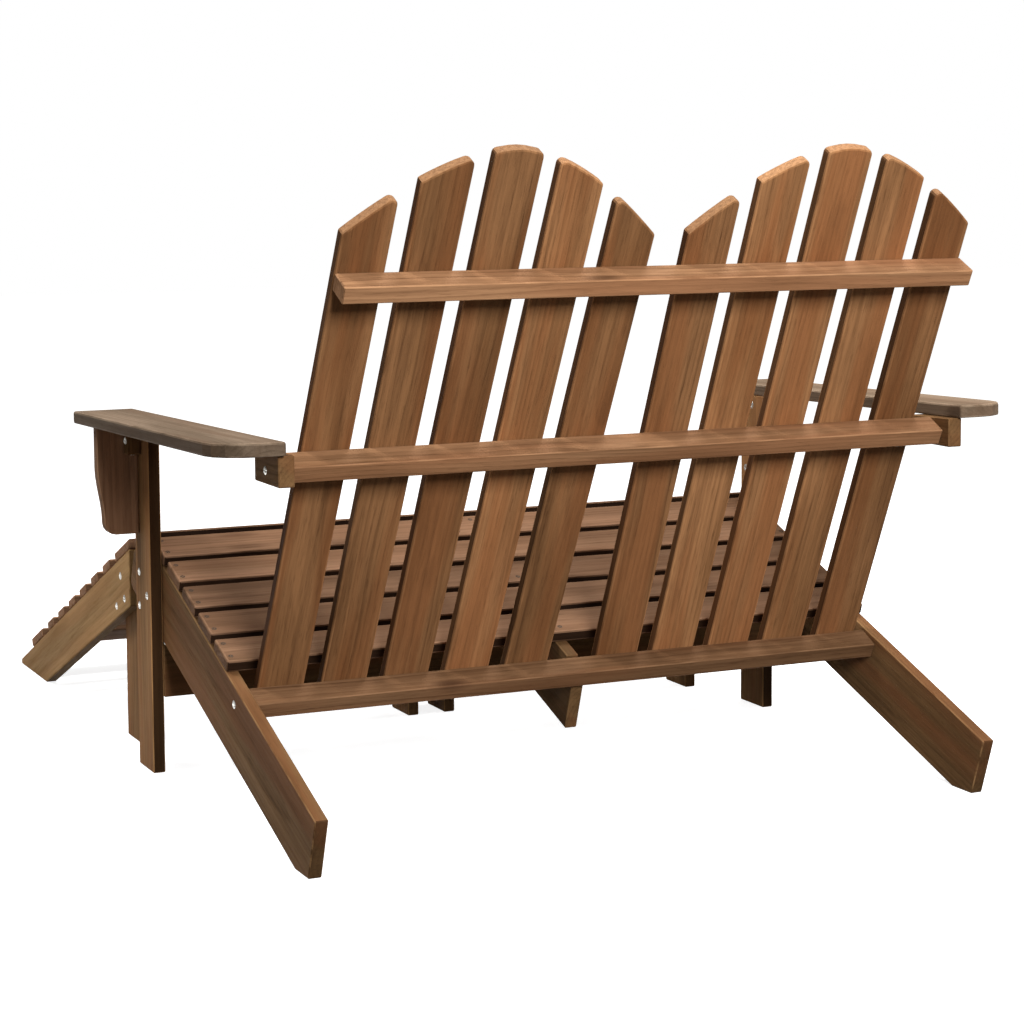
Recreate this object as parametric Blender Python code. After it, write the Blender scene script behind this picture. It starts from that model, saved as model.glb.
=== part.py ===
"""Adirondack loveseat with two slatted footstools, built board by board.

Metres, +Z up. The sitter faces -Y, the origin is on the floor in the middle of the whole set.
Each board is an outline extruded by its thickness and set in place by its object's matrix.
"""

from math import atan2, ceil, cos, hypot, radians, sin, tan

import bmesh
import bpy
from mathutils import Matrix, Vector

# Stock and fits shared by every piece
BOARD_THICK = 0.019
SLAT_THICK = 0.018
TOUCH_GAP = 0.0003
BOARD_EASE = 0.0015
SLAT_EASE = 0.003
ARC_STEP = radians(22.5)
CURVE_STEPS = 6

# Seat: half its width, the side line of the stringers and the slats on them
SEAT_HALF = 0.525
SEAT_SLOPE_ANGLE = radians(19.5)
CREST_BACK = 0.011
CREST_HIGH = 0.344
FACET_FALL_ANGLE = radians(13.9)
FACET_LONG = 0.0917
NOSE_REACH = 0.100
NOSE_DROP = 0.0525
NOSE_ROUND = 0.010
CHIN_BACK = 0.014
CHIN_DROP = 0.0125
CHIN_ROUND = 0.008
HEEL_BACK = 0.7175
HEEL_LONG = 0.051
CENTRE_STRINGER_BACK = 0.4145

SEAT_SLATS = 5
SEAT_SLAT_WIDE = 0.065
SEAT_SLAT_PITCH = 0.080
FIRST_SLAT_BACK = 0.0125
FRONT_SLAT_WIDE = 0.090

# Front legs, arms and what holds the arms up
LEG_DEEP = 0.0765
APRON_LOW = 0.1165
ARM_TOP_HIGH = 0.549
ARM_TILT_ANGLE = radians(1.5)
ARM_OVERHANG = 0.068
ARM_LONG = 0.724
ARM_WIDE = 0.096
ARM_LAP = 0.001
ARM_FRONT_ROUND = 0.004
ARM_REAR_ROUND = 0.060
BRACKET_SETBACK = 0.007
BRACKET_WIDE = 0.064
BRACKET_HIGH = 0.166
BRACKET_WAIST_WIDE = 0.054
BRACKET_STRAIGHT = 0.063
BRACKET_CURVE = 0.082
BRACKET_ROUND = 0.018
CLEAT_THICK = 0.0225
FRONT_CLEAT_DEEP = 0.019
FRONT_CLEAT_HIGH = 0.043
REAR_CLEAT_LONG = 0.098
REAR_CLEAT_LAP = 0.014
REAR_CLEAT_SINK = 0.002

# Back: reclined plane, three rails behind it and two fans of slats before it
RECLINE_ANGLE = radians(26.4)
BACK_FOOT = 0.422
RAIL_DROP = 0.0038
RAIL_DEEP = 0.039
RAIL_TALL = 0.025
MIDDLE_RAIL_SHORT = 0.0155
UPPER_RAIL_UP = 0.661
FAN_SLATS = 5
FAN_INSET = 0.0345
FAN_SPACING = 0.0795
FAN_LEAN_ANGLE = radians(1.17)
BACK_SLAT_WIDE = 0.0695
BACK_SLAT_ROUND = 0.008
ROUNDED_END = 0.016
FAN_TALL = 0.835
FAN_DROP = 0.1235
FAN_CURVE_POWER = 1.7

# Footstools: spacing, side boards, legs and slats; together they are as wide as the seat
STOOL_SPACING = 0.008
STOOL_FRONT_GAP = 0.108
STOOL_REAR_HIGH = 0.319
STOOL_REAR_LOW = 0.2275
STOOL_LONG = 0.750
STOOL_NOSE_HIGH = 0.009872307195
STOOL_FOOT_LONG = 0.1865
STOOL_LEG_SETBACK = 0.0195
STOOL_LEG_DEEP = 0.075
STOOL_SLAT_THICK = 0.016
STOOL_WIDE_SLAT = 0.088
STOOL_NARROW_SLAT = 0.047
STOOL_NARROW_SLATS = 6
STOOL_NARROW_START = 0.125
STOOL_LAST_GAP = 0.0435
STOOL_END_INSET = 0.095208931447

# Colours, as linear red, green and blue
LEG_BROWN = (0.150, 0.085, 0.042)
STRINGER_BROWN = (0.120, 0.072, 0.036)
SEAT_BROWN = (0.215, 0.140, 0.100)
BACK_BROWN = (0.210, 0.108, 0.052)
RAIL_BROWN = (0.265, 0.145, 0.082)
ARM_BROWN = (0.260, 0.190, 0.135)
STOOL_BROWN = (0.215, 0.135, 0.068)
WOOD_ROUGHNESS = 0.62

SIDES = (("left", 1.0), ("right", -1.0))
ACROSS = Vector((1.0, 0.0, 0.0))


def rounded(corners):
    """Return an outline's points, with each (x, y, radius) corner turned into an arc."""
    points = []
    for index, (x, y, radius) in enumerate(corners):
        corner = Vector((x, y))
        if not radius:
            points.append(corner)
            continue
        x_after, y_after, _ = corners[(index + 1) % len(corners)]
        x_before, y_before, _ = corners[index - 1]
        before = (Vector((x_before, y_before)) - corner).normalized()
        after = (Vector((x_after, y_after)) - corner).normalized()
        half_angle = before.angle(after) / 2
        centre = corner + (before + after).normalized() * radius / sin(half_angle)
        start = corner + before * radius / tan(half_angle) - centre
        end = corner + after * radius / tan(half_angle) - centre
        sweep = atan2(start.cross(end), start.dot(end))
        steps = ceil(abs(sweep) / ARC_STEP)
        for step in range(steps + 1):
            points.append(centre + Matrix.Rotation(sweep * step / steps, 2) @ start)
    return points


def square(corners):
    """Give plain (x, y) corners a radius of zero."""
    return [(x, y, 0) for x, y in corners]


def meeting(point, along, other_point, other_along):
    """Return where two lines of one plane cross."""
    apart = other_point - point
    return point + along * (apart.cross(other_along) / along.cross(other_along))


def axes(x_axis, y_axis, z_axis, origin):
    """Return the matrix of a board whose outline lies along x_axis and y_axis."""
    turned = Matrix((x_axis, y_axis, z_axis)).transposed().to_4x4()
    return Matrix.Translation(origin) @ turned


def side_board(sign, inner_x, thick=BOARD_THICK):
    """Place an outline of (y, z) points on one side, its inner face at inner_x from the middle."""
    low_x = inner_x if sign > 0 else -inner_x - thick
    return axes((0, 1, 0), (0, 0, 1), (1, 0, 0), (low_x, 0, 0))


def cross_board(rear_y):
    """Place an outline of (x, z) points, thickness towards the sitter's front."""
    return axes((1, 0, 0), (0, 0, 1), (0, -1, 0), (0, rear_y, 0))


def paint(name, colour):
    """Return a Principled material of one stained wood colour."""
    material = bpy.data.materials.new(name)
    material.use_nodes = True
    shader = material.node_tree.nodes["Principled BSDF"]
    shader.inputs["Base Color"].default_value = (*colour, 1.0)
    shader.inputs["Roughness"].default_value = WOOD_ROUGHNESS
    shader.inputs["Metallic"].default_value = 0.0
    material.diffuse_color = (*colour, 1.0)
    return material


def add_object(name, bm, parent, place, material):
    """Turn a bmesh into a named object under its parent."""
    mesh = bpy.data.meshes.new(name)
    bmesh.ops.recalc_face_normals(bm, faces=bm.faces)
    bm.to_mesh(mesh)
    bm.free()
    mesh.materials.append(material)
    item = bpy.data.objects.new(name, mesh)
    bpy.context.scene.collection.objects.link(item)
    item.parent = parent
    item.matrix_basis = place
    return item


def extrude_outline(bm, points, thick):
    """Add one closed board to the bmesh, its outline at z 0 and its far face at z thick."""
    face = bm.faces.new([bm.verts.new((*point, 0)) for point in points])
    grown = bmesh.ops.extrude_face_region(bm, geom=[face])["geom"]
    far_side = [part for part in grown if isinstance(part, bmesh.types.BMVert)]
    bmesh.ops.translate(bm, verts=far_side, vec=(0, 0, thick))


def ease_edges(item, width, segments=1):
    """Round a board's sharp edges a little, as sanding does."""
    bevel = item.modifiers.new("eased_edges", "BEVEL")
    bevel.width = width
    bevel.segments = segments
    bevel.limit_method = "ANGLE"
    bevel.angle_limit = radians(40)


def add_board(name, corners, thick, parent, place, colour, ease=BOARD_EASE, segments=1):
    """Make one board as its own named object."""
    bm = bmesh.new()
    extrude_outline(bm, rounded(corners), thick)
    item = add_object(name, bm, parent, place, paint(name, colour))
    ease_edges(item, ease, segments)
    return item


def add_frame(name, location):
    """Make an empty that carries one body's pieces."""
    frame = bpy.data.objects.new(name, None)
    frame.location = location
    bpy.context.scene.collection.objects.link(frame)
    return frame


for leftover in list(bpy.data.objects):
    bpy.data.objects.remove(leftover, do_unlink=True)

# Seat lines, in the (y, z) plane, with y zero at the front legs' front faces
crest = Vector((CREST_BACK, CREST_HIGH))
seat_back = Vector((cos(SEAT_SLOPE_ANGLE), -sin(SEAT_SLOPE_ANGLE)))
seat_up = Vector((sin(SEAT_SLOPE_ANGLE), cos(SEAT_SLOPE_ANGLE)))
facet_front = Vector((-cos(FACET_FALL_ANGLE), -sin(FACET_FALL_ANGLE)))
facet_up = Vector((-sin(FACET_FALL_ANGLE), cos(FACET_FALL_ANGLE)))
nose_top = crest + facet_front * FACET_LONG
nose_tip = Vector((-NOSE_REACH, nose_top.y - NOSE_DROP))
chin = nose_tip + Vector((CHIN_BACK, -CHIN_DROP))
heel_front = Vector((HEEL_BACK - HEEL_LONG, 0))
heel_back = Vector((HEEL_BACK, 0))
under_along = (heel_front - chin).normalized()


def stringer_top(y):
    """Return the height of a stringer's top edge behind the crest."""
    return CREST_HIGH - tan(SEAT_SLOPE_ANGLE) * (y - CREST_BACK)


def stringer_under(y):
    """Return the height of a stringer's lower edge."""
    return (heel_front.x - y) * -under_along.y / under_along.x


def arm_under(y):
    """Return the height of the arms' underside."""
    return ARM_TOP_HIGH - BOARD_THICK / cos(ARM_TILT_ANGLE) + tan(ARM_TILT_ANGLE) * y


# Back lines: up the recline, and straight out of the back
back_up = Vector((sin(RECLINE_ANGLE), cos(RECLINE_ANGLE)))
back_out = Vector((cos(RECLINE_ANGLE), -sin(RECLINE_ANGLE)))
back_foot = Vector((BACK_FOOT, stringer_top(BACK_FOOT) - RAIL_DROP))
arm_level_gap = arm_under(back_foot.x) - back_foot.y
middle_rail_up = arm_level_gap / (back_up.y - tan(ARM_TILT_ANGLE) * back_up.x)

# The whole set's middle lies at y zero
peak_back = BACK_FOOT + FAN_TALL * back_up.x
set_reach = STOOL_FRONT_GAP + STOOL_LONG
front_y = (set_reach - peak_back) / 2

bench = add_frame("loveseat_frame", (0, front_y, 0))
stool_wide = SEAT_HALF - STOOL_SPACING / 2
stool_centre_x = (STOOL_SPACING + stool_wide) / 2
stools = {}
for side, sign in SIDES:
    stools[side] = add_frame(f"stool_{side}_frame", (sign * stool_centre_x, front_y, 0))

# Side stringers: seat support and rear foot in one board
nose_corners = [
    (nose_top.x, nose_top.y, BOARD_EASE * 2),
    (nose_tip.x, nose_tip.y, NOSE_ROUND),
    (chin.x, chin.y, CHIN_ROUND),
]
heel_top = heel_back + seat_up * stringer_top(HEEL_BACK) * cos(SEAT_SLOPE_ANGLE)
side_outline = square([crest]) + nose_corners + square([heel_front, heel_back, heel_top])
stringer_inner = SEAT_HALF - BOARD_THICK
for side, sign in SIDES:
    place = side_board(sign, stringer_inner)
    add_board(f"side_stringer_{side}", side_outline, BOARD_THICK, bench, place, STRINGER_BROWN)

# Centre stringer: same nose, cut square behind, with a seat for the lower rail
centre_foot = Vector((CENTRE_STRINGER_BACK, stringer_under(CENTRE_STRINGER_BACK)))
rail_front_face = back_foot - back_out * TOUCH_GAP
rail_under_face = back_foot - back_up * (RAIL_TALL + TOUCH_GAP)
notch_top = meeting(rail_front_face, back_up, crest, seat_back)
notch_corner = meeting(rail_front_face, back_up, rail_under_face, back_out)
notch_end = meeting(rail_under_face, back_out, centre_foot, seat_up)
centre_outline = square([crest]) + nose_corners
centre_outline += square([centre_foot, notch_end, notch_corner, notch_top])
centre_place = side_board(1, -BOARD_THICK / 2)
add_board("centre_stringer", centre_outline, BOARD_THICK, bench, centre_place, STRINGER_BROWN)

# Seat slats lie on the three stringers, with the front one tipped over the nose
slat_half = SEAT_HALF - TOUCH_GAP


def slope_board(origin, along, up):
    """Place an outline of (along the slope, above it) points, thickness across the seat."""
    x_axis = Vector((0, *along))
    y_axis = Vector((0, *up))
    return axes(x_axis, y_axis, x_axis.cross(y_axis), (0, *origin))


def slat_section(start, wide, thick):
    """Return the four corners of a slat's cross section."""
    top = TOUCH_GAP + thick
    return square([(start, TOUCH_GAP), (start + wide, TOUCH_GAP), (start + wide, top), (start, top)])


def add_cross_slat(name, section, half, parent, place, colour):
    """Make a slat that runs across the seat, half its length each way."""
    centred = place @ Matrix.Translation((0, 0, -half))
    return add_board(name, section, 2 * half, parent, centred, colour, SLAT_EASE, 2)


seat_place = slope_board(crest, seat_back, seat_up)
facet_place = slope_board(crest, facet_front, facet_up)
front_slat_start = -SLAT_THICK * tan(FACET_FALL_ANGLE)
front_section = slat_section(front_slat_start, FRONT_SLAT_WIDE, SLAT_THICK)
add_cross_slat("front_seat_slat", front_section, slat_half, bench, facet_place, SEAT_BROWN)
slat_starts = [FIRST_SLAT_BACK + number * SEAT_SLAT_PITCH for number in range(SEAT_SLATS)]
for number, start in enumerate(slat_starts, start=1):
    section = slat_section(start, SEAT_SLAT_WIDE, SLAT_THICK)
    add_cross_slat(f"seat_slat_{number}", section, slat_half, bench, seat_place, SEAT_BROWN)

# Front legs stand outside the stringers and carry the arms
leg_outline = square([(0, 0), (LEG_DEEP, 0)])
leg_outline += square([(y, arm_under(y) - TOUCH_GAP) for y in (LEG_DEEP, 0)])
leg_inner = SEAT_HALF + TOUCH_GAP
for side, sign in SIDES:
    add_board(f"front_leg_{side}", leg_outline, BOARD_THICK, bench, side_board(sign, leg_inner), LEG_BROWN)

# Apron between the front legs, under the stringers
apron_top = stringer_under(LEG_DEEP) - TOUCH_GAP
apron_outline = square(
    [(-slat_half, APRON_LOW), (slat_half, APRON_LOW), (slat_half, apron_top), (-slat_half, apron_top)]
)
add_board("front_apron", apron_outline, BOARD_THICK, bench, cross_board(LEG_DEEP), STRINGER_BROWN)

# Arms: flat boards that rise a little towards the back, rounded at the outer rear corner
arm_inner = SEAT_HALF - ARM_LAP
arm_outer = arm_inner + ARM_WIDE
arm_rear = ARM_LONG - ARM_OVERHANG
arm_place = Matrix.Translation((0, 0, arm_under(0))) @ Matrix.Rotation(ARM_TILT_ANGLE, 4, "X")
for side, sign in SIDES:
    arm_corners = [
        (sign * arm_inner, -ARM_OVERHANG, ARM_FRONT_ROUND),
        (sign * arm_outer, -ARM_OVERHANG, ARM_FRONT_ROUND),
        (sign * arm_outer, arm_rear, ARM_REAR_ROUND),
        (sign * arm_inner, arm_rear, ARM_FRONT_ROUND),
    ]
    add_board(f"arm_{side}", arm_corners, BOARD_THICK, bench, arm_place, ARM_BROWN, SLAT_EASE, 2)

# Arm brackets: shaped boards square to the legs, with an S curve down the outer edge
bracket_inner = leg_inner + BOARD_THICK + TOUCH_GAP
bracket_rear = BRACKET_SETBACK + BOARD_THICK
bracket_top = arm_under(BRACKET_SETBACK) - TOUCH_GAP
bracket_bottom = bracket_top - BRACKET_HIGH
curve_top = bracket_top - BRACKET_STRAIGHT


def bracket_edge(share):
    """Return a point of the bracket's S curve, from its straight top to its foot."""
    eased_share = share * share * (3 - 2 * share)
    wide = BRACKET_WIDE + (BRACKET_WAIST_WIDE - BRACKET_WIDE) * eased_share
    return bracket_inner + wide, curve_top - BRACKET_CURVE * share


for side, sign in SIDES:
    edge = [bracket_edge(step / CURVE_STEPS) for step in range(CURVE_STEPS + 1)]
    bracket_corners = square([(bracket_inner, bracket_bottom), (bracket_inner, bracket_top)])
    bracket_corners += square([(bracket_inner + BRACKET_WIDE, bracket_top)] + edge)
    bracket_corners += [(bracket_inner + BRACKET_WAIST_WIDE, bracket_bottom, BRACKET_ROUND)]
    bracket_corners = [(sign * x, z, radius) for x, z, radius in bracket_corners]
    place = cross_board(bracket_rear)
    add_board(f"arm_bracket_{side}", bracket_corners, BOARD_THICK, bench, place, LEG_BROWN)

# Cleats under the arms: short ones in the front corners, long ones at the middle rail's ends
front_cleat_start = bracket_rear + TOUCH_GAP
front_cleat_end = front_cleat_start + FRONT_CLEAT_DEEP
front_cleat_low = arm_under(front_cleat_start) - FRONT_CLEAT_HIGH
front_cleat_outline = square([(front_cleat_start, front_cleat_low), (front_cleat_end, front_cleat_low)])
front_cleat_outline += square([(y, arm_under(y) - TOUCH_GAP) for y in (front_cleat_end, front_cleat_start)])


def rail_corner(rail_up, out, down):
    """Return a corner of a back rail's section in the (y, z) plane."""
    return back_foot + back_up * (rail_up - down) + back_out * out


rear_cleat_end = rail_corner(middle_rail_up, RAIL_DEEP, 0).x + REAR_CLEAT_LAP
rear_cleat_start = rear_cleat_end - REAR_CLEAT_LONG
rear_cleat_low = rail_corner(middle_rail_up, RAIL_DEEP, RAIL_TALL).y - REAR_CLEAT_SINK
middle_rail_half = SEAT_HALF - MIDDLE_RAIL_SHORT
rear_cleat_inner = middle_rail_half + TOUCH_GAP
rear_cleat_outline = square([(rear_cleat_start, rear_cleat_low), (rear_cleat_end, rear_cleat_low)])
rear_cleat_outline += square([(y, arm_under(y) - TOUCH_GAP) for y in (rear_cleat_end, rear_cleat_start)])
for side, sign in SIDES:
    front_place = side_board(sign, bracket_inner, CLEAT_THICK)
    add_board(f"front_cleat_{side}", front_cleat_outline, CLEAT_THICK, bench, front_place, LEG_BROWN)
    rear_place = side_board(sign, rear_cleat_inner, CLEAT_THICK)
    add_board(f"rear_cleat_{side}", rear_cleat_outline, CLEAT_THICK, bench, rear_place, LEG_BROWN)

# Two fans of slats share the seat's width, leaning a little towards each other
fan_outer = SEAT_HALF - FAN_INSET
fan_inner = FAN_SPACING / 2
fan_centre = (fan_outer + fan_inner) / 2
fan_reach = fan_outer - fan_centre
back_slat_pitch = (2 * fan_reach - BACK_SLAT_WIDE) / (FAN_SLATS - 1)

# Back rails lie behind the reclined plane; the upper one ends flush with the outer slats
upper_rail_half = fan_centre + fan_reach * cos(FAN_LEAN_ANGLE) - UPPER_RAIL_UP * sin(FAN_LEAN_ANGLE)
rail_halves = {
    "lower": (0, stringer_inner - TOUCH_GAP),
    "middle": (middle_rail_up, middle_rail_half),
    "upper": (UPPER_RAIL_UP, upper_rail_half),
}
rail_section = square([(0, 0), (RAIL_DEEP, 0), (RAIL_DEEP, -RAIL_TALL), (0, -RAIL_TALL)])
for level, (rail_up, half) in rail_halves.items():
    origin = rail_corner(rail_up, 0, 0)
    place = axes((0, *back_out), (0, *back_up), (1, 0, 0), (-half, *origin))
    add_board(f"{level}_back_rail", rail_section, 2 * half, bench, place, RAIL_BROWN)

# Back slats: the tops of each fan follow one rounded curve
middle_slat = (FAN_SLATS - 1) // 2


def fan_top(across):
    """Return how far up the back a fan reaches, across its own middle."""
    return FAN_TALL - FAN_DROP * (abs(across) / fan_reach) ** FAN_CURVE_POWER


def back_slat_corners(number):
    """Return a back slat's outline, across the fan and up it, rounded at its higher corners."""
    low_x = (middle_slat - number) * back_slat_pitch - BACK_SLAT_WIDE / 2
    high_x = low_x + BACK_SLAT_WIDE
    low_round, low_end = (BACK_SLAT_ROUND, ROUNDED_END) if number <= middle_slat else (0, 0)
    high_round, high_end = (BACK_SLAT_ROUND, ROUNDED_END) if number >= middle_slat else (0, 0)
    corners = [(low_x, -RAIL_TALL, 0), (high_x, -RAIL_TALL, 0), (high_x, fan_top(high_x), high_round)]
    for step in range(1, CURVE_STEPS):
        across = high_x - BACK_SLAT_WIDE * step / CURVE_STEPS
        if low_x + low_end < across < high_x - high_end:
            corners.append((across, fan_top(across), 0))
    corners.append((low_x, fan_top(low_x), low_round))
    return corners


for side, sign in SIDES:
    origin = Vector((sign * fan_centre, *back_foot))
    upright = axes(ACROSS, (0, *back_up), (0, *-back_out), origin)
    fan_place = upright @ Matrix.Rotation(sign * FAN_LEAN_ANGLE, 4, "Z") @ Matrix.Translation((0, 0, TOUCH_GAP))
    first_number = 1 if sign > 0 else 1 + FAN_SLATS
    for number in range(FAN_SLATS):
        name = f"back_slat_{first_number + number}"
        corners = back_slat_corners(number)
        add_board(name, corners, SLAT_THICK, bench, fan_place, BACK_BROWN, SLAT_EASE, 2)

# Footstools: side boards that run from the seat's height down to the floor
stool_half = stool_wide / 2
stool_rear = -STOOL_FRONT_GAP
stool_nose = stool_rear - STOOL_LONG
stool_foot_rear = stool_nose + STOOL_FOOT_LONG
stool_under_slope = STOOL_REAR_LOW / (stool_rear - stool_foot_rear)

# The slope falls from the rear to the nose, whatever the length: 22.4 degrees as in the photo
stool_fall = STOOL_REAR_HIGH - STOOL_NOSE_HIGH
stool_slope_angle = atan2(stool_fall, STOOL_LONG)
stool_slope_long = hypot(STOOL_LONG, stool_fall)


def stool_top(y):
    """Return the height of a footstool side's top edge."""
    return STOOL_REAR_HIGH - tan(stool_slope_angle) * (stool_rear - y)


def stool_under(y):
    """Return the height of a footstool side's lower edge."""
    return STOOL_REAR_LOW - stool_under_slope * (stool_rear - y)


stool_corners = square([(stool_rear, STOOL_REAR_HIGH), (stool_rear, STOOL_REAR_LOW)])
stool_corners += square([(stool_foot_rear, 0), (stool_nose, 0), (stool_nose, stool_top(stool_nose))])
stool_leg_rear = stool_rear - STOOL_LEG_SETBACK
stool_leg_front = stool_leg_rear - STOOL_LEG_DEEP
stool_leg_corners = square([(stool_leg_front, 0), (stool_leg_rear, 0)])
stool_leg_corners += square([(y, stool_top(y)) for y in (stool_leg_rear, stool_leg_front)])
stool_side_inner = stool_half - BOARD_THICK
stool_leg_inner = stool_side_inner - TOUCH_GAP - BOARD_THICK
slope_front = Vector((-cos(stool_slope_angle), -sin(stool_slope_angle)))
slope_up = Vector((-sin(stool_slope_angle), cos(stool_slope_angle)))
stool_place = slope_board(Vector((stool_rear, STOOL_REAR_HIGH)), slope_front, slope_up)

# The uppermost slat is cut upright behind, flush with the side boards
flush_cut = tan(stool_slope_angle)
slat_top = TOUCH_GAP + STOOL_SLAT_THICK
first_section = square(
    [
        (-TOUCH_GAP * flush_cut, TOUCH_GAP),
        (STOOL_WIDE_SLAT, TOUCH_GAP),
        (STOOL_WIDE_SLAT, slat_top),
        (-slat_top * flush_cut, slat_top),
    ]
)

# The end slat keeps its distance from the nose, and the narrow ones share the room between
last_start = stool_slope_long - STOOL_END_INSET - STOOL_WIDE_SLAT
last_section = slat_section(last_start, STOOL_WIDE_SLAT, STOOL_SLAT_THICK)
narrow_room = last_start - STOOL_LAST_GAP - STOOL_NARROW_SLAT - STOOL_NARROW_START
narrow_pitch = narrow_room / (STOOL_NARROW_SLATS - 1)
narrow_starts = [STOOL_NARROW_START + number * narrow_pitch for number in range(STOOL_NARROW_SLATS)]
for side, _ in SIDES:
    stool = stools[side]
    for edge, sign in SIDES:
        place = side_board(sign, stool_side_inner)
        add_board(f"stool_{side}_side_{edge}", stool_corners, BOARD_THICK, stool, place, STOOL_BROWN)
        place = side_board(sign, stool_leg_inner)
        add_board(f"stool_{side}_leg_{edge}", stool_leg_corners, BOARD_THICK, stool, place, LEG_BROWN)
    add_cross_slat(f"stool_{side}_top_slat", first_section, stool_half, stool, stool_place, STOOL_BROWN)
    add_cross_slat(f"stool_{side}_end_slat", last_section, stool_half, stool, stool_place, STOOL_BROWN)
    for number, start in enumerate(narrow_starts, start=1):
        section = slat_section(start, STOOL_NARROW_SLAT, STOOL_SLAT_THICK)
        add_cross_slat(f"stool_{side}_slat_{number}", section, stool_half, stool, stool_place, STOOL_BROWN)
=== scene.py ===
import random
from math import cos, sin

import bpy
import numpy as np
from mathutils import Matrix, Vector


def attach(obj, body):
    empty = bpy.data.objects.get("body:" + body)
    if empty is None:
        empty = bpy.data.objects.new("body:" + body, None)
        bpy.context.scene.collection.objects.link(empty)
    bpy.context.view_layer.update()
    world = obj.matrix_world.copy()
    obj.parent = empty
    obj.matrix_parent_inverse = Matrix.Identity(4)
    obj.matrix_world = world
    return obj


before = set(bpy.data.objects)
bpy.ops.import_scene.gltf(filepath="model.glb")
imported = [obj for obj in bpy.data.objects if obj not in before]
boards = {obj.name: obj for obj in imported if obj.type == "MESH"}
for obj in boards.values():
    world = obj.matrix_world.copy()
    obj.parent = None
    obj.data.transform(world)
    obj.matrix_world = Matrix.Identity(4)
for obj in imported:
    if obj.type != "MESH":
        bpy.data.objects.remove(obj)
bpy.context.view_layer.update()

# Side stringers: the seat's supports and the rear feet in one, sawn from wide softwood boards
# and brushed with brown oil stain. Their top edges are rubbed redder than their broad faces.
STRINGER_LIGHT = (0.205, 0.112, 0.048)
STRINGER_DARK = (0.085, 0.045, 0.020)
STRINGER_RED = (0.205, 0.086, 0.036)
SAME_FACING = 0.999
SHORTEST_EDGE = 0.01
WIDTH_TIE = 1e-5


def lie_of(name, facing):
    """Returns a board's middle, its grain, width and face directions, and its size along each."""
    mesh = boards[name].data
    points = np.array([corner.co for corner in mesh.vertices])
    normals = np.array([face.normal for face in mesh.polygons])
    areas = np.array([face.area for face in mesh.polygons])
    weights = [areas[np.abs(normals @ normal) > SAME_FACING].sum() for normal in normals]
    out = Vector(normals[int(np.argmax(weights))])
    if out.dot(Vector(facing)) < 0:
        out.negate()
    narrowest = None
    for edge in mesh.edges:
        start, end = (mesh.vertices[index].co for index in edge.vertices)
        along = end - start
        along -= out * along.dot(out)
        if along.length < SHORTEST_EDGE:
            continue
        along.normalize()
        wide = np.ptp(points @ out.cross(along))
        if narrowest is None or wide < narrowest[0] - WIDTH_TIE:
            narrowest = (wide, along)
    along = narrowest[1]
    if along[max(range(3), key=lambda axis: abs(along[axis]))] < 0:
        along = -along
    turn = Matrix((along, out.cross(along), out)).transposed()
    inside = points @ np.array(turn)
    middle = turn @ Vector((inside.max(0) + inside.min(0)) / 2)
    across = turn.col[1].copy()
    size = np.ptp(inside, axis=0)
    return {"middle": middle, "turn": turn, "along": along, "across": across, "out": out, "size": size}


def add_node(tree, kind, *feeds, **settings):
    """Adds a node, feeding its first inputs from sockets or plain values; None skips one."""
    made = tree.nodes.new(kind)
    for key, value in settings.items():
        setattr(made, key, value)
    for socket, feed in zip(made.inputs, feeds):
        if isinstance(feed, bpy.types.NodeSocket):
            tree.links.new(feed, socket)
        elif feed is not None:
            socket.default_value = feed
    return made


def blend_colours(tree, share, under, over, mode="MIX"):
    """Adds a mix of two colours, each a socket or a plain value, and returns its result."""
    made = tree.nodes.new("ShaderNodeMix")
    made.data_type = "RGBA"
    made.blend_type = mode
    colour_sockets = [socket for socket in made.inputs if socket.type == "RGBA"]
    for socket, feed in zip((made.inputs[0], *colour_sockets), (share, under, over)):
        if isinstance(feed, bpy.types.NodeSocket):
            tree.links.new(feed, socket)
        else:
            socket.default_value = feed
    return next(socket for socket in made.outputs if socket.type == "RGBA")


# Tints multiply the stain's colour where a cloud, an edge (stain and painted shade), end grain or a rim (wear
# and painted highlight) shows.
CLOUD_TINT = (0.52, 0.50, 0.46, 1.0)
EDGE_STAIN_AND_SHADE_TINT = (0.14, 0.13, 0.13, 1.0)
END_TINT = (1.35, 1.50, 1.75, 1.0)
WORN_AND_HIGHLIGHT_TINT = (1.7, 1.75, 1.8, 1.0)
KNOT_BROWN = (0.045, 0.018, 0.009, 1.0)

# How far the rings wander and how they fade, and how much of each mark reaches the colour.
RING_WAVE = 0.046
LATE_WOOD_POWER = 2.4
RING_DEPTH_LEAST = 0.2
RING_DEPTH_SPAN = 1.1
BAND_SHARE = 0.44
STREAK_SHARE = 0.34
DASH_SHARE = 0.36
PORE_SHARE = 0.22
FIBRE_SHARE = 0.66
RED_SHARE = 0.74
RED_SHADE = 0.55
CLOUD_SHARE = 0.58
KNOT_SHARE = 0.72
KNOT_SCARCITY = 0.80
KNOT_STRETCH = (6.5, 26.0, 26.0)
PALE_STREAKS = 0.5
LEAST_ROUGHNESS = 0.58
ROUGHNESS_SPAN = 0.16
PORE_HEIGHT = -0.5


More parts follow.
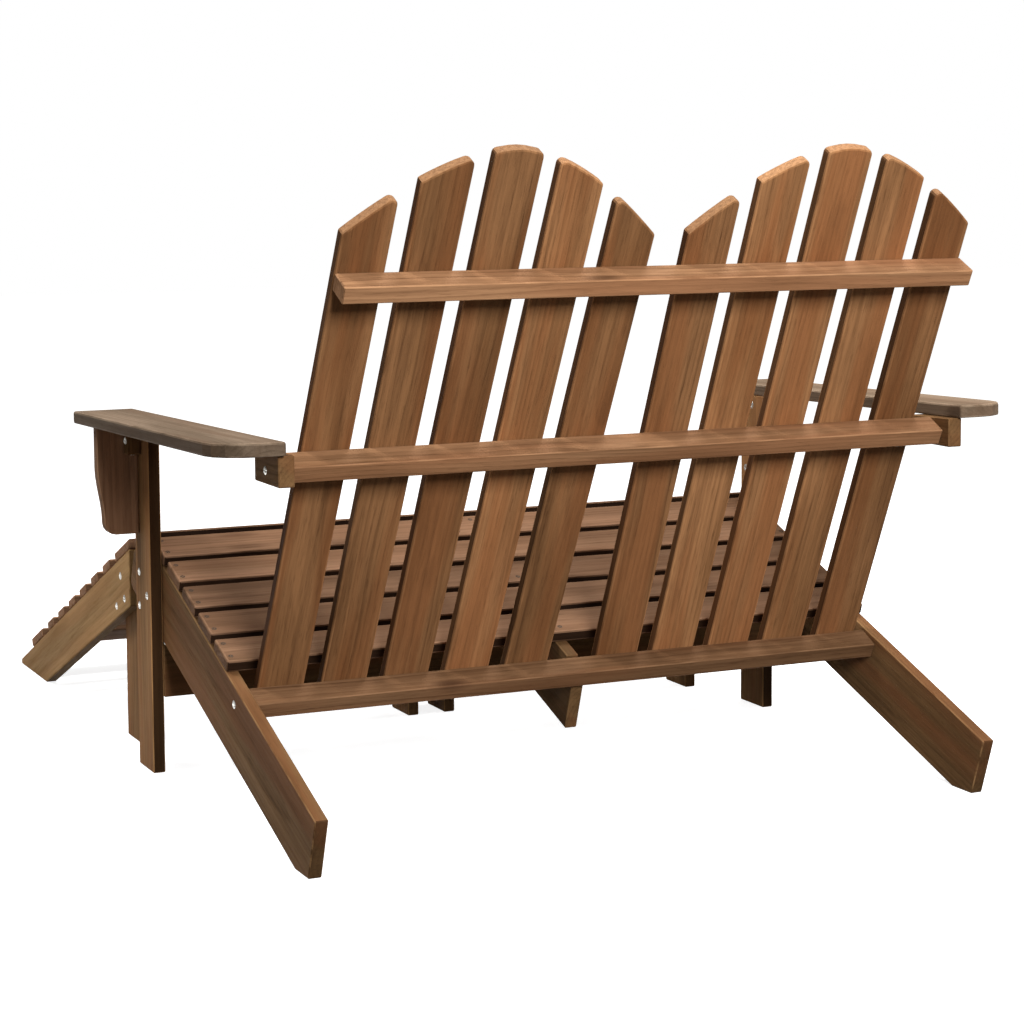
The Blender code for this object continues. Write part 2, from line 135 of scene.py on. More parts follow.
def stained_grain():
    """Builds the look of oil-stained softwood once: rings, fibres, knots, edges darkened by stain and painted
    shade, and rims lightened by wear and painted highlight.
    """
    group = bpy.data.node_groups.new("stained_grain", "ShaderNodeTree")
    sockets = (("Position", "Vector", None), ("Normal", "Vector", None), ("Light Wood", "Color", None),
               ("Dark Wood", "Color", None), ("Red Stain", "Color", None), ("Ring Spacing", "Float", 0.007),
               ("Ring Strength", "Float", 0.5), ("Knots", "Float", 0.0), ("Edge Shade", "Float", 0.5),
               ("End Lift", "Float", 0.5), ("End Shade", "Float", 0.0), ("Wear", "Float", 0.3))
    for label, kind, value in sockets:
        socket = group.interface.new_socket(label, in_out="INPUT", socket_type="NodeSocket" + kind)
        if value is not None:
            socket.default_value = value
    for label, kind in (("Color", "Color"), ("Roughness", "Float"), ("Height", "Float")):
        group.interface.new_socket(label, in_out="OUTPUT", socket_type="NodeSocket" + kind)
    links = group.links.new
    given = group.nodes.new("NodeGroupInput").outputs
    put_out = group.nodes.new("NodeGroupOutput").inputs

    def node(kind, *feeds, **settings):
        return add_node(group, kind, *feeds, **settings).outputs[0]

    def maths(operation, *feeds):
        return node("ShaderNodeMath", *feeds, operation=operation)

    def ramp(value, low, high):
        made = group.nodes.new("ShaderNodeMapRange")
        made.interpolation_type = "SMOOTHSTEP"
        links(value, made.inputs["Value"])
        made.inputs["From Min"].default_value = low
        made.inputs["From Max"].default_value = high
        return made.outputs["Result"]

    def noise(stretch, detail, shift=0.0):
        moved = node("ShaderNodeVectorMath", given["Position"], (shift, shift, shift), operation="ADD")
        stretched = node("ShaderNodeVectorMath", moved, stretch, operation="MULTIPLY")
        made = group.nodes.new("ShaderNodeTexNoise")
        links(stretched, made.inputs["Vector"])
        made.inputs["Scale"].default_value = 1.0
        made.inputs["Detail"].default_value = detail
        return made.outputs["Fac"]

    def blend(share, under, over, mode="MIX"):
        return blend_colours(group, share, under, over, mode)

    # Growth rings round the log's heart, which lies along the board's X
    flat = node("ShaderNodeVectorMath", given["Position"], (0.0, 1.0, 1.0), operation="MULTIPLY")
    reach = group.nodes.new("ShaderNodeVectorMath")
    reach.operation = "LENGTH"
    links(flat, reach.inputs[0])
    wave = maths("MULTIPLY", maths("SUBTRACT", noise((1.3, 7.0, 7.0), detail=2.0), 0.5), RING_WAVE)
    ring_place = maths("DIVIDE", maths("ADD", reach.outputs["Value"], wave), given["Ring Spacing"])
    ring_share = maths("FRACT", ring_place)
    late = maths("POWER", ring_share, LATE_WOOD_POWER)
    late = maths("MULTIPLY", late, ramp(ring_share, low=1.0, high=0.86))
    own_depth = group.nodes.new("ShaderNodeTexWhiteNoise")
    own_depth.noise_dimensions = "1D"
    links(maths("FLOOR", ring_place), own_depth.inputs["W"])
    ring_depth = maths("MULTIPLY_ADD", own_depth.outputs["Value"], RING_DEPTH_SPAN, RING_DEPTH_LEAST)
    rings = maths("MULTIPLY", late, ring_depth)

    # Fibres: long soft bands, fine streaks and short pores
    bands = ramp(noise((2.8, 60.0, 60.0), detail=3.0, shift=3.1), low=0.38, high=0.66)
    streaks = ramp(noise((7.0, 240.0, 240.0), detail=3.0, shift=7.7), low=0.36, high=0.70)
    dashes = ramp(noise((34.0, 420.0, 420.0), detail=2.0, shift=4.4), low=0.54, high=0.70)
    pores = ramp(noise((26.0, 1300.0, 1300.0), detail=2.0, shift=1.9), low=0.58, high=0.72)
    fibre = maths("ADD", maths("MULTIPLY", bands, BAND_SHARE), maths("MULTIPLY", streaks, STREAK_SHARE))
    fibre = maths("MULTIPLY_ADD", dashes, DASH_SHARE, fibre)
    fibre = maths("MULTIPLY", maths("MULTIPLY_ADD", pores, PORE_SHARE, fibre), FIBRE_SHARE)
    dark_share = maths("MULTIPLY_ADD", rings, given["Ring Strength"], fibre)
    dark_share.node.use_clamp = True

    # Stain taken up unevenly: redder in places, thin and olive in others
    colour = blend(dark_share, given["Light Wood"], given["Dark Wood"])
    reddened = ramp(noise((1.8, 22.0, 22.0), detail=2.0, shift=5.3), low=0.42, high=0.62)
    red_wood = blend(maths("MULTIPLY", dark_share, RED_SHADE), given["Red Stain"], given["Dark Wood"])
    colour = blend(maths("MULTIPLY", reddened, RED_SHARE), colour, red_wood)
    cloud = ramp(noise((2.2, 15.0, 15.0), detail=3.0, shift=9.4), low=0.36, high=0.64)
    colour = blend(maths("MULTIPLY", cloud, CLOUD_SHARE), colour, CLOUD_TINT, "MULTIPLY")

    # Knots: scarce, drawn out along the grain
    knot_place = node("ShaderNodeVectorMath", given["Position"], KNOT_STRETCH, operation="MULTIPLY")
    cell = group.nodes.new("ShaderNodeTexVoronoi")
    cell.inputs["Scale"].default_value = 1.0
    links(knot_place, cell.inputs["Vector"])
    chosen = group.nodes.new("ShaderNodeSeparateColor")
    links(cell.outputs["Color"], chosen.inputs[0])
    present = maths("MULTIPLY", maths("GREATER_THAN", chosen.outputs[0], KNOT_SCARCITY), given["Knots"])
    knot = maths("MULTIPLY", ramp(cell.outputs["Distance"], low=0.30, high=0.07), present)
    colour = blend(maths("MULTIPLY", knot, KNOT_SHARE), colour, KNOT_BROWN)

    # Faces: narrow edges, and ends where asked, are darker, partly stain and partly painted shade; end grain
    # dries paler
    parts = group.nodes.new("ShaderNodeSeparateXYZ")
    links(given["Normal"], parts.inputs[0])
    along_share = maths("ABSOLUTE", parts.outputs["X"])
    out_share = maths("ABSOLUTE", parts.outputs["Z"])
    end = ramp(along_share, low=0.42, high=0.72)
    broad = ramp(out_share, low=0.20, high=0.55)
    edge = maths("MULTIPLY", maths("SUBTRACT", 1.0, broad), maths("SUBTRACT", 1.0, end))
    edge = maths("MULTIPLY", edge, given["Edge Shade"])
    shaded = maths("ADD", edge, maths("MULTIPLY", end, given["End Shade"]))
    colour = blend(shaded, colour, EDGE_STAIN_AND_SHADE_TINT, "MULTIPLY")
    pale = blend(maths("MULTIPLY", streaks, PALE_STREAKS), given["Light Wood"], given["Dark Wood"])
    pale = blend(1.0, pale, END_TINT, "MULTIPLY")
    colour = blend(maths("MULTIPLY", end, given["End Lift"]), colour, pale)
    # Rounded rims are lightened in patches: partly sanded wear, partly painted highlight
    rim = maths("MULTIPLY", ramp(out_share, low=0.22, high=0.36), ramp(out_share, low=0.985, high=0.93))
    rubbed_and_highlit = ramp(noise((14.0, 60.0, 60.0), detail=3.0, shift=2.2), low=0.34, high=0.62)
    rim = maths("MULTIPLY", maths("MULTIPLY", rim, rubbed_and_highlit), given["Wear"])
    worn_and_highlit = blend(1.0, given["Light Wood"], WORN_AND_HIGHLIGHT_TINT, "MULTIPLY")
    colour = blend(rim, colour, worn_and_highlit)
    links(colour, put_out["Color"])
    links(maths("MULTIPLY_ADD", dark_share, ROUGHNESS_SPAN, LEAST_ROUGHNESS), put_out["Roughness"])
    links(maths("SUBTRACT", maths("MULTIPLY", pores, PORE_HEIGHT), dark_share), put_out["Height"])
    return group


grain = stained_grain()
GRAIN_SEED = 11
log = random.Random(GRAIN_SEED)
LOG_REACH = 6
HEART_SIDE = 0.09
HEART_DEPTHS = (0.03, 0.10)
WOOD_GLOSS = 0.027
GRAIN_RELIEF = 0.00025


def stain(name, facing, light, dark, red, tone=1.0, **values):
    """Gives one board its own cut from the log and its own tone, and returns how it lies."""
    lie = lie_of(name, facing)
    material = bpy.data.materials.new(name + "_stain")
    material.use_nodes = True
    nodes, links = material.node_tree.nodes, material.node_tree.links.new
    shader = nodes["Principled BSDF"]
    place = nodes.new("ShaderNodeTexCoord")
    grown = nodes.new("ShaderNodeGroup")
    grown.node_tree = grain
    across = log.uniform(-HEART_SIDE, HEART_SIDE)
    depth = log.uniform(*HEART_DEPTHS)
    along = log.uniform(-LOG_REACH, LOG_REACH)
    heart = lie["middle"] + lie["along"] * along + lie["across"] * across - lie["out"] * depth
    for source, target, centre in (("Object", "Position", heart), ("Normal", "Normal", (0, 0, 0))):
        turned = nodes.new("ShaderNodeMapping")
        turned.vector_type = "TEXTURE"
        turned.inputs["Location"].default_value = centre
        turned.inputs["Rotation"].default_value = lie["turn"].to_euler("XYZ")
        links(place.outputs[source], turned.inputs["Vector"])
        links(turned.outputs["Vector"], grown.inputs[target])
    for label, colour in (("Light Wood", light), ("Dark Wood", dark), ("Red Stain", red)):
        grown.inputs[label].default_value = (*(part * tone for part in colour), 1.0)
    for label, value in values.items():
        grown.inputs[label.replace("_", " ").title()].default_value = value
    links(grown.outputs["Color"], shader.inputs["Base Color"])
    links(grown.outputs["Roughness"], shader.inputs["Roughness"])
    shader.inputs["Specular IOR Level"].default_value = WOOD_GLOSS
    raised = nodes.new("ShaderNodeBump")
    raised.inputs["Distance"].default_value = GRAIN_RELIEF
    links(grown.outputs["Height"], raised.inputs["Height"])
    links(raised.outputs["Normal"], shader.inputs["Normal"])
    slots = boards[name].data.materials
    slots.clear()
    slots.append(material)
    return lie


SIDES = (("left", 1), ("right", -1))
stringer = {}
# Painted light: the right stringer is toned lighter than the left, lifting the shade on its inner face.
for side, sign in SIDES:
    stringer[side] = stain(f"side_stringer_{side}", (sign, 0, 0), STRINGER_LIGHT, STRINGER_DARK,
                           STRINGER_RED, tone=1.13 - 0.14 * sign, edge_shade=0.0, end_lift=0.0,
                           end_shade=0.65, ring_strength=0.4, wear=0.5)

# Centre stringer: the same board again, cut short at the lower back rail, which sits in a notch
# at its end. It lies in the seat's shade, which is painted into it as a darker tone.
stain("centre_stringer", (1, 0, 0), STRINGER_LIGHT, STRINGER_DARK, STRINGER_RED, tone=0.8,
      edge_shade=0.3, end_lift=0.0)

# Front legs: upright boards screwed to the outside of the stringers. Their broad faces are
# a warm tan brown; the narrow edges are nearly black, partly stain and partly painted shade.
LEG_LIGHT = (0.320, 0.172, 0.072)
LEG_DARK = (0.130, 0.065, 0.029)
LEG_RED = (0.300, 0.136, 0.055)
leg = {}
for side, sign in SIDES:
    leg[side] = stain(f"front_leg_{side}", (sign, 0, 0), LEG_LIGHT, LEG_DARK, LEG_RED, tone=1.19,
                      edge_shade=1.0, end_lift=0.2, ring_strength=0.4, ring_spacing=0.009)

# Apron: a plain softwood board set between the front legs, under the stringers' noses, and
# stained like them.
stain("front_apron", (0, 1, 0), STRINGER_LIGHT, STRINGER_DARK, STRINGER_RED, tone=1.25,
      edge_shade=0.4, end_lift=0.2)

# Seat slats: planed boards with rounded edges, one tipped over the nose and five behind it.
# Their colour is greyer than the other boards', partly own tone and partly painted sheen;
# their long edges are darker, partly stain and partly painted shade in the gaps.
SEAT_LIGHT = (0.330, 0.182, 0.104)
SEAT_DARK = (0.140, 0.071, 0.038)
SEAT_RED = (0.305, 0.160, 0.088)
# The three rear slats are painted darker, for the back's shadow on them.
SEAT_TONES_AND_SHADOW = (0.90, 0.96, 0.94, 0.66, 0.63, 0.68)
seat_slats = ["front_seat_slat"] + [f"seat_slat_{number}" for number in range(1, 6)]
seat = {name: stain(name, (0, 0, 1), SEAT_LIGHT, SEAT_DARK, SEAT_RED, tone=tone, edge_shade=1.0,
                    end_lift=0.0, end_shade=0.2, knots=0.5, ring_strength=0.45)
        for name, tone in zip(seat_slats, SEAT_TONES_AND_SHADOW)}

# Back rails: three square-edged battens behind the back slats, the palest and pinkest of the
# boards, with small knots.
RAIL_LIGHT = (0.380, 0.200, 0.100)
RAIL_DARK = (0.150, 0.070, 0.032)
RAIL_RED = (0.330, 0.150, 0.070)
# The lower rails are painted darker and the upper one lighter, for the light falling from above.
RAIL_TONES_LIT_AND_SHADED = {"lower": 0.56, "middle": 0.82, "upper": 1.06}
rail = {level: stain(f"{level}_back_rail", (0, 0, 1), RAIL_LIGHT, RAIL_DARK, RAIL_RED, tone=tone,
                     edge_shade=0.0, end_lift=0.0, end_shade=0.35, knots=1.0, ring_strength=0.6,
                     ring_spacing=0.006, wear=0.35)
        for level, tone in RAIL_TONES_LIT_AND_SHADED.items()}

# Back slats: two fans of five boards with rounded tops, warm mid brown with long vertical
# grain. Their edges are dark, and the sawn tops show pale end grain.
BACK_LIGHT = (0.270, 0.130, 0.055)
BACK_DARK = (0.090, 0.040, 0.017)
BACK_RED = (0.240, 0.095, 0.036)
BACK_TONES = (1.00, 1.02, 0.95, 1.33, 1.02, 1.06, 1.44, 1.34, 1.32, 1.08)
back = {}
for number, tone in enumerate(BACK_TONES, start=1):
    name = f"back_slat_{number}"
    back[name] = stain(name, (0, -1, 0), BACK_LIGHT, BACK_DARK, BACK_RED, tone=tone, edge_shade=0.78,
                       end_lift=0.7, knots=0.25, ring_strength=0.4, wear=0.25)

# Arms: wide flat boards screwed down on the legs, brackets and cleats. Their tops are the
# palest faces, and the grey in their colour is partly own tone and partly painted sheen.
ARM_LIGHT = (0.262, 0.187, 0.127)
ARM_DARK = (0.128, 0.086, 0.056)
ARM_RED = (0.208, 0.134, 0.086)
for side, sign in SIDES:
    # Painted light: the right arm is toned much lighter than the left, for the brighter light on it.
    stain(f"arm_{side}", (0, 0, 1), ARM_LIGHT, ARM_DARK, ARM_RED, tone=1.06 - 0.25 * sign,
          edge_shade=0.53, end_lift=0.0, end_shade=0.40, ring_strength=0.4, wear=0.25)

# Arm brackets: boards set square to the legs' outer faces, sawn to an S curve down to a rounded
# foot, and stained like the seat.
for side, _ in SIDES:
    stain(f"arm_bracket_{side}", (0, 1, 0), SEAT_LIGHT, SEAT_DARK, SEAT_RED, tone=1.15, edge_shade=0.4,
          end_lift=0.0)

# Cleats: short sawn blocks that hold the arms up, in front behind the brackets and behind at
# the ends of the middle back rail. Screws go up through them into the arms.
cleat = {}
for side, sign in SIDES:
    for place in ("front", "rear"):
        cleat[place, side] = stain(f"{place}_cleat_{side}", (sign, 0, 0), LEG_LIGHT, LEG_DARK, LEG_RED,
                                   tone=0.70, edge_shade=0.2, end_lift=0.0, end_shade=0.2)

# Footstools: sloping side boards with a leg inside each, stained a shade more olive than the
# seat, and planed slats across them: a wide one at each end and six narrow ones between.
STOOL_LIGHT = (0.455, 0.272, 0.116)
STOOL_DARK = (0.235, 0.131, 0.055)
STOOL_RED = (0.400, 0.212, 0.085)
STOOL_WIDE_SLATS = ("top_slat", "end_slat")
STOOL_NARROW_SLATS = tuple(f"slat_{number}" for number in range(1, 7))
stool_sides = {}
stool_slats = {}
for stool in ("left", "right"):
    for edge, sign in SIDES:
        name = f"stool_{stool}_side_{edge}"
        stool_sides[stool, edge] = stain(name, (sign, 0, 0), STOOL_LIGHT, STOOL_DARK, STOOL_RED,
                                         tone=1.22, edge_shade=0.7, end_lift=0.0, ring_strength=0.35)
        stain(f"stool_{stool}_leg_{edge}", (sign, 0, 0), LEG_LIGHT, LEG_DARK, LEG_RED, tone=1.25,
              edge_shade=0.6, end_lift=0.2)
    for part in STOOL_WIDE_SLATS + STOOL_NARROW_SLATS:
        name = f"stool_{stool}_{part}"
        stool_slats[stool, part] = stain(name, (0, 0, 1), SEAT_LIGHT, SEAT_DARK, SEAT_RED, tone=1.4,
                                         edge_shade=0.6, end_lift=0.0, knots=0.5)

# Screws: plated wood screws with low domed heads and a four-point recess. Those outside are still
# bright; those down through the slats are painted near black with the shade of their holes. Their shanks are
# inside the wood.
SCREW_SEED = 5
SCREW_SINK = 0.0005
SCREW_LIP = 0.0002
HEAD_SIDES = 12
HEAD_RINGS = 3
HEAD_TOP_SHARE = 0.88
DOME_FALL = 1.29
RECESS_SHARE = 0.6
RECESS_MIDDLE_SHARE = 0.1
RIM_SHARE = 0.8
RECESS_POINTS = 4.0
POINT_EDGE = 0.9
LARGEST_SPIN = 1.57
driven = {}


def screw_heads():
    """Builds the tree that sets one closed head on every point, turned to the point's facing."""
    tree = bpy.data.node_groups.new("screw_heads", "GeometryNodeTree")
    sockets = (("Points", "Geometry"), ("Head Radius", "Float"), ("Dome Height", "Float"),
               ("Recess Depth", "Float"), ("Rim Shade", "Float"), ("Seed", "Int"), ("Metal", "Material"))
    for label, kind in sockets:
        tree.interface.new_socket(label, in_out="INPUT", socket_type="NodeSocket" + kind)
    tree.interface.new_socket("Heads", in_out="OUTPUT", socket_type="NodeSocketGeometry")
    given = tree.nodes.new("NodeGroupInput").outputs

    def maths(operation, *feeds):
        return add_node(tree, "ShaderNodeMath", *feeds, operation=operation).outputs[0]

    cone = add_node(tree, "GeometryNodeMeshCone", HEAD_SIDES, 1, HEAD_RINGS, HEAD_TOP_SHARE, 1.0, 1.0,
                    fill_type="TRIANGLE_FAN")
    spot = add_node(tree, "GeometryNodeInputPosition").outputs[0]
    parts = add_node(tree, "ShaderNodeSeparateXYZ", spot).outputs
    level = add_node(tree, "ShaderNodeVectorMath", spot, (1.0, 1.0, 0.0), operation="MULTIPLY")
    level = level.outputs[0]
    reach = add_node(tree, "ShaderNodeVectorMath", level, operation="LENGTH").outputs["Value"]
    top = maths("GREATER_THAN", parts["Z"], 0.5)
    turn = maths("MULTIPLY", maths("ARCTAN2", parts["Y"], parts["X"]), RECESS_POINTS)
    star = maths("GREATER_THAN", maths("COSINE", turn), POINT_EDGE)
    inner = maths("MULTIPLY", maths("LESS_THAN", reach, RECESS_SHARE), top)
    pit = maths("MAXIMUM", star, maths("LESS_THAN", reach, RECESS_MIDDLE_SHARE))
    pit = maths("MULTIPLY", pit, inner)
    dome = maths("SUBTRACT", 1.0, maths("MULTIPLY", maths("POWER", reach, 2.0), DOME_FALL))
    height = maths("ADD", maths("MULTIPLY", dome, given["Dome Height"]), SCREW_LIP)
    height = maths("SUBTRACT", height, maths("MULTIPLY", pit, given["Recess Depth"]))
    height = maths("MULTIPLY", maths("ADD", height, SCREW_SINK), top)
    height = maths("SUBTRACT", height, SCREW_SINK)
    wide = add_node(tree, "ShaderNodeVectorMath", level, operation="SCALE")
    tree.links.new(given["Head Radius"], wide.inputs["Scale"])
    raised = add_node(tree, "ShaderNodeCombineXYZ", 0.0, 0.0, height).outputs[0]
    shaped = add_node(tree, "ShaderNodeVectorMath", wide.outputs[0], raised, operation="ADD").outputs[0]
    head = add_node(tree, "GeometryNodeSetPosition", cone.outputs["Mesh"], None, shaped).outputs[0]
    # Painted shade: the recess and, by Rim Shade, the rim are marked dark for the hollow and the wood's
    # shadow.
    rim = maths("MULTIPLY", maths("GREATER_THAN", reach, RIM_SHARE), given["Rim Shade"])
    stored = add_node(tree, "GeometryNodeStoreNamedAttribute", head, None, "shade", data_type="FLOAT")
    value = next(socket for socket in stored.inputs if socket.type == "VALUE")
    tree.links.new(maths("MAXIMUM", inner, rim), value)

    # Each head faces out of the wood and is left at its own turn by the driver
    facing = add_node(tree, "GeometryNodeInputNamedAttribute", "facing", data_type="FLOAT_VECTOR")
    vector = next(socket for socket in facing.outputs if socket.type == "VECTOR")
    aligned = add_node(tree, "FunctionNodeAlignRotationToVector", None, None, vector, axis="Z")
    chance = add_node(tree, "FunctionNodeRandomValue", data_type="FLOAT")
    numbers = {socket.name: socket for socket in chance.inputs if socket.type == "VALUE"}
    numbers["Max"].default_value = LARGEST_SPIN
    tree.links.new(given["Seed"], chance.inputs["Seed"])
    angle = next(socket for socket in chance.outputs if socket.type == "VALUE")
    spin = add_node(tree, "FunctionNodeAxisAngleToRotation", (0.0, 0.0, 1.0), angle)
    turned = add_node(tree, "FunctionNodeRotateRotation", aligned.outputs[0], spin.outputs[0],
                      rotation_space="LOCAL")
    placed = add_node(tree, "GeometryNodeInstanceOnPoints", given["Points"], None, stored.outputs[0])
    tree.links.new(turned.outputs[0], placed.inputs["Rotation"])
    joined = add_node(tree, "GeometryNodeRealizeInstances", placed.outputs[0]).outputs[0]
    made = add_node(tree, "GeometryNodeSetMaterial", joined, None, given["Metal"]).outputs[0]
    tree.links.new(made, tree.nodes.new("NodeGroupOutput").inputs[0])
    return tree


DRIVER_REACH = 0.05


def drive(finish, body, board, point, facing):
    """Marks a screw where a line from point, straight in against facing, meets the board."""
    facing = Vector(facing)
    start = Vector(point) + facing * DRIVER_REACH
    found, place, normal, _ = boards[board].ray_cast(start, -facing)
    if not found:
        raise ValueError(f"No wood under the screw at {point} in {board}")
    driven.setdefault((body, finish), []).append((place, normal))


def slat_screw(body, name, lie, along, across):
    """Marks a sunk screw on a slat's face: along it from its middle, across it as a share."""
    point = lie["middle"] + lie["along"] * along + lie["across"] * (across * lie["size"][1])
    drive("sunk", body, name, point, lie["out"])


FRONT = leg["left"]["middle"].y - leg["left"]["size"][1] / 2


def side_screw(finish, body, name, lie, sign, y, z):
    """Marks a screw on a board's broad face to one side, y back from the front legs and z up."""
    face = lie["middle"].x + sign * lie["size"][2] / 2
    drive(finish, body, name, (face, FRONT + y, z), (sign, 0, 0))


# Two screws fix each seat slat to each stringer.
SEAT_SCREW_LINES = (-0.5155, 0.0, 0.5155)
SEAT_SCREW_SHARES = (-0.28, 0.28)
for name, lie in seat.items():
    for x in SEAT_SCREW_LINES:
        for across in SEAT_SCREW_SHARES:
            slat_screw("loveseat", name, lie, x, across)

# Two screws fix each back slat to each rail, through its front face.
BACK_SCREW_SHARES = (-0.25, 0.25)
for name, lie in back.items():
    for batten in rail.values():
        up = (batten["middle"] - lie["middle"]).dot(batten["out"]) / lie["along"].dot(batten["out"])
        for across in BACK_SCREW_SHARES:
            slat_screw("loveseat", name, lie, up, across)

# Bright heads outside: legs to stringers, brackets and cleats, stringers to the lower rail.
LEG_SCREWS = ((0.0184, 0.3035), (0.0581, 0.2718), (0.0176, 0.2514))
LEG_INNER_SCREWS = ((0.0355, 0.514), (0.0165, 0.405))
STRINGER_SCREWS = {"bright": (0.4182, 0.1723), "small": (0.0835, 0.2005)}
CLEAT_SCREWS = {"front": (0.0355, 0.5085), "rear": (0.591, 0.522)}
CLEAT_UNDER_SCREWS = {"front": (0.0,), "rear": (-0.032, 0.026)}
CLEAT_UNDER_REACH = 0.02
for side, sign in SIDES:
    for y, z in LEG_SCREWS:
        side_screw("bright", "loveseat", f"front_leg_{side}", leg[side], sign, y, z)
    for y, z in LEG_INNER_SCREWS:
        side_screw("bright", "loveseat", f"front_leg_{side}", leg[side], -sign, y, z)
    for finish, (y, z) in STRINGER_SCREWS.items():
        side_screw(finish, "loveseat", f"side_stringer_{side}", stringer[side], sign, y, z)
    for place, (y, z) in CLEAT_SCREWS.items():
        name, lie = f"{place}_cleat_{side}", cleat[place, side]
        side_screw("bright", "loveseat", name, lie, sign, y, z)
        for step in CLEAT_UNDER_SCREWS[place]:
            under = lie["middle"] + Vector((0, step, -CLEAT_UNDER_REACH))
            drive("bright", "loveseat", name, under, (0, 0, -1))

# Three bright heads on each footstool side's outer face, sunk ones through the slats' ends.
STOOL_SIDE_SCREWS = ((-0.160, 0.269), (-0.139, 0.235), (-0.186, 0.216))
STOOL_SLAT_INSET = 0.0095
WIDE_SLAT_SHARES = (-0.27, 0.27)
NARROW_SLAT_SHARES = (0.0,)
for stool, _ in SIDES:
    body = f"stool_{stool}"
    for edge, sign in SIDES:
        for y, z in STOOL_SIDE_SCREWS:
            side_screw("bright", body, f"{body}_side_{edge}", stool_sides[stool, edge], sign, y, z)
    for part in STOOL_WIDE_SLATS + STOOL_NARROW_SLATS:
        lie = stool_slats[stool, part]
        shares = WIDE_SLAT_SHARES if part in STOOL_WIDE_SLATS else NARROW_SLAT_SHARES
        for end in (-1, 1):
            along = end * (lie["size"][0] / 2 - STOOL_SLAT_INSET)
            for across in shares:
                slat_screw(body, f"{body}_{part}", lie, along, across)

# Bright zinc for the heads in the open, near black for the sunk ones: painted shade of their holes. Recesses
# and rims are painted shade.
RECESS_AND_RIM_SHADE = (0.02, 0.015, 0.01, 1.0)
SCREW_METALLIC = 0.9
heads = screw_heads()
FINISHES = {
    "bright": ((0.54, 0.53, 0.49), 0.34, {"Head Radius": 0.0068, "Dome Height": 0.0017,
                                          "Recess Depth": 0.0015, "Rim Shade": 0.5}),
    "small": ((0.46, 0.45, 0.42), 0.34, {"Head Radius": 0.0036, "Dome Height": 0.0008,
                                         "Recess Depth": 0.0008, "Rim Shade": 0.15}),
    "sunk": ((0.050, 0.038, 0.028), 0.55, {"Head Radius": 0.0042, "Dome Height": 0.0002,
                                           "Recess Depth": 0.0007, "Rim Shade": 0.9}),
}
metals = {}
for finish, (colour, roughness, _) in FINISHES.items():
    metal = bpy.data.materials.new(f"{finish}_screw")
    metal.use_nodes = True
    shader = metal.node_tree.nodes["Principled BSDF"]
    shader.inputs["Metallic"].default_value = SCREW_METALLIC
    shader.inputs["Roughness"].default_value = roughness
    shade = add_node(metal.node_tree, "ShaderNodeAttribute", attribute_name="shade").outputs["Fac"]
    mixed = blend_colours(metal.node_tree, shade, (*colour, 1.0), RECESS_AND_RIM_SHADE)
    metal.node_tree.links.new(mixed, shader.inputs["Base Color"])
    metals[finish] = metal

# One mesh of heads for each body and finish, fixed to that body.
for (body, finish), marks in driven.items():
    points = bpy.data.meshes.new(f"{body}_{finish}_screws")
    points.from_pydata([place for place, _ in marks], [], [])
    facing = points.attributes.new("facing", "FLOAT_VECTOR", "POINT")
    facing.data.foreach_set("vector", [part for _, normal in marks for part in normal])
    screws = bpy.data.objects.new(f"{body}_{finish}_screws", points)
    bpy.context.scene.collection.objects.link(screws)
    modifier = screws.modifiers.new("heads", "NODES")
    modifier.node_group = heads
    values = {**FINISHES[finish][2], "Seed": SCREW_SEED, "Metal": metals[finish]}
    for item in heads.interface.items_tree:
        if item.in_out == "INPUT" and item.name in values:
            modifier[item.identifier] = values[item.name]
    built = screws.evaluated_get(bpy.context.evaluated_depsgraph_get())
    finished = bpy.data.meshes.new_from_object(built)
    screws.modifiers.clear()
    screws.data = finished
    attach(screws, body)

# Studio: a pale paper floor and a white surround, with a soft lamp behind the seat, one above
# it and one high on its left. Rays that only carry light find both darker than the camera does.
FLOOR_HALF = 14.0
FLOOR_WHITE = (0.80, 0.80, 0.80, 1.0)
FLOOR_DIM = (0.09, 0.085, 0.08, 1.0)
FLOOR_GLOW = 0.83
SURROUND_DIM = 0.27
WHITE = (1.0, 1.0, 1.0, 1.0)

floor_mesh = bpy.data.meshes.new("floor")
corners = [(-1, -1), (1, -1), (1, 1), (-1, 1)]
floor_mesh.from_pydata([(x * FLOOR_HALF, y * FLOOR_HALF, 0) for x, y in corners], [], [(0, 1, 2, 3)])
floor = bpy.data.objects.new("floor", floor_mesh)
bpy.context.scene.collection.objects.link(floor)
paper = bpy.data.materials.new("studio_paper")
paper.use_nodes = True


def seen_by(tree, first_ray, second_ray):
    """Returns a socket that is 1 for two kinds of ray and 0 for all others."""
    path = add_node(tree, "ShaderNodeLightPath").outputs
    return add_node(tree, "ShaderNodeMath", path[first_ray], path[second_ray], operation="MAXIMUM").outputs[0]


shader = paper.node_tree.nodes["Principled BSDF"]
shader.inputs["Roughness"].default_value = 0.9
shader.inputs["Specular IOR Level"].default_value = 0.0
shader.inputs["Emission Color"].default_value = WHITE
seen = seen_by(paper.node_tree, "Is Camera Ray", "Is Glossy Ray")
shade = blend_colours(paper.node_tree, seen, FLOOR_DIM, FLOOR_WHITE)
glow = add_node(paper.node_tree, "ShaderNodeMath", seen, FLOOR_GLOW, operation="MULTIPLY")
paper.node_tree.links.new(shade, shader.inputs["Base Color"])
paper.node_tree.links.new(glow.outputs[0], shader.inputs["Emission Strength"])
floor_mesh.materials.append(paper)

world = bpy.data.worlds.new("surround")
bpy.context.scene.world = world
world.use_nodes = True
sky = world.node_tree.nodes["Background"]
sky.inputs["Color"].default_value = WHITE
seen = seen_by(world.node_tree, "Is Camera Ray", "Is Transmission Ray")
level = add_node(world.node_tree, "ShaderNodeMapRange", seen)
level.inputs["To Min"].default_value = SURROUND_DIM
level.inputs["To Max"].default_value = 1.0
world.node_tree.links.new(level.outputs["Result"], sky.inputs["Strength"])


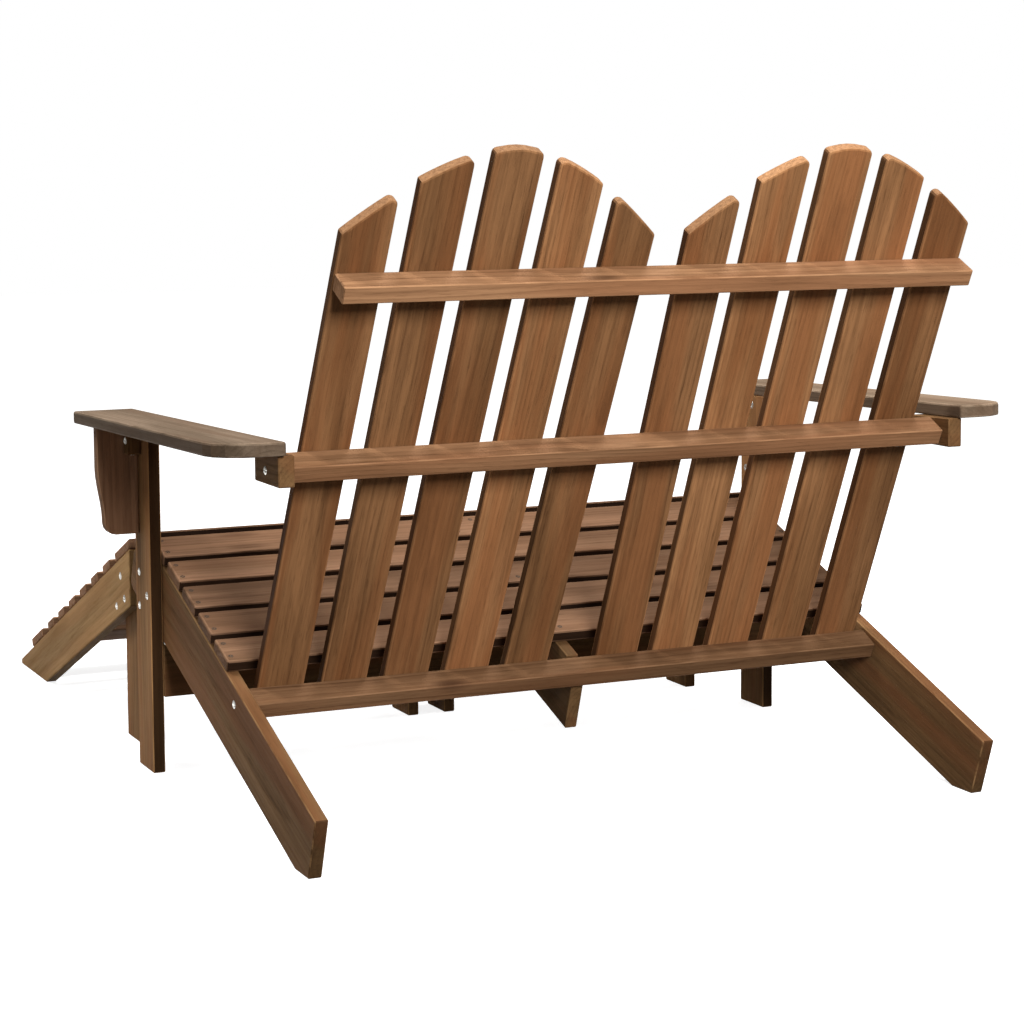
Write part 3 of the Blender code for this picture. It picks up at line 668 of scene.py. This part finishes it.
def softbox(name, place, aim, size, watts):
    """Hangs one square soft light, pointed at aim."""
    lamp = bpy.data.lights.new(name, "AREA")
    lamp.shape = "SQUARE"
    lamp.size = size
    lamp.energy = watts
    hung = bpy.data.objects.new(name, lamp)
    bpy.context.scene.collection.objects.link(hung)
    hung.location = place
    hung.rotation_euler = (Vector(aim) - Vector(place)).to_track_quat("-Z", "Y").to_euler()


softbox("key_light", place=(0.45, 5.0, 2.5), aim=(0, 0.3, 0.5), size=1.5, watts=300)
softbox("top_light", place=(-1.3, -0.4, 3.8), aim=(0, 0, 0.4), size=1.6, watts=95)
softbox("side_light", place=(2.0, -0.3, 3.3), aim=(0.5, 0, 0.2), size=1.1, watts=84)

# Camera: a plain lens fitted to the photo's outline, with its axis above the picture's middle
CAMERA_PLACE = (1.59681, 3.76687, 0.92527)
CAMERA_YAW = 0.42535
CAMERA_PITCH = 0.09405
CAMERA_ROLL = -0.00593
CAMERA_FOCUS_SHARE = 2511.45 / 1024
CAMERA_SHIFT_SHARE = (400 - 512) / 1024
SENSOR_WIDE = 36.0
camera_data = bpy.data.cameras.new("photo_camera")
camera_data.sensor_width = SENSOR_WIDE
camera_data.lens = CAMERA_FOCUS_SHARE * SENSOR_WIDE
camera_data.shift_y = CAMERA_SHIFT_SHARE
camera = bpy.data.objects.new("photo_camera", camera_data)
bpy.context.scene.collection.objects.link(camera)
level_ahead = Vector((-sin(CAMERA_YAW), -cos(CAMERA_YAW), 0)) * cos(CAMERA_PITCH)
ahead = level_ahead - Vector((0, 0, sin(CAMERA_PITCH)))
right = Vector((-cos(CAMERA_YAW), sin(CAMERA_YAW), 0))
up = right.cross(ahead)
rolled_right = right * cos(CAMERA_ROLL) + up * sin(CAMERA_ROLL)
rolled_up = up * cos(CAMERA_ROLL) - right * sin(CAMERA_ROLL)
turned = Matrix((rolled_right, rolled_up, -ahead)).transposed().to_4x4()
camera.matrix_world = Matrix.Translation(CAMERA_PLACE) @ turned
bpy.context.scene.camera = camera
bpy.context.scene.view_settings.view_transform = "Standard"
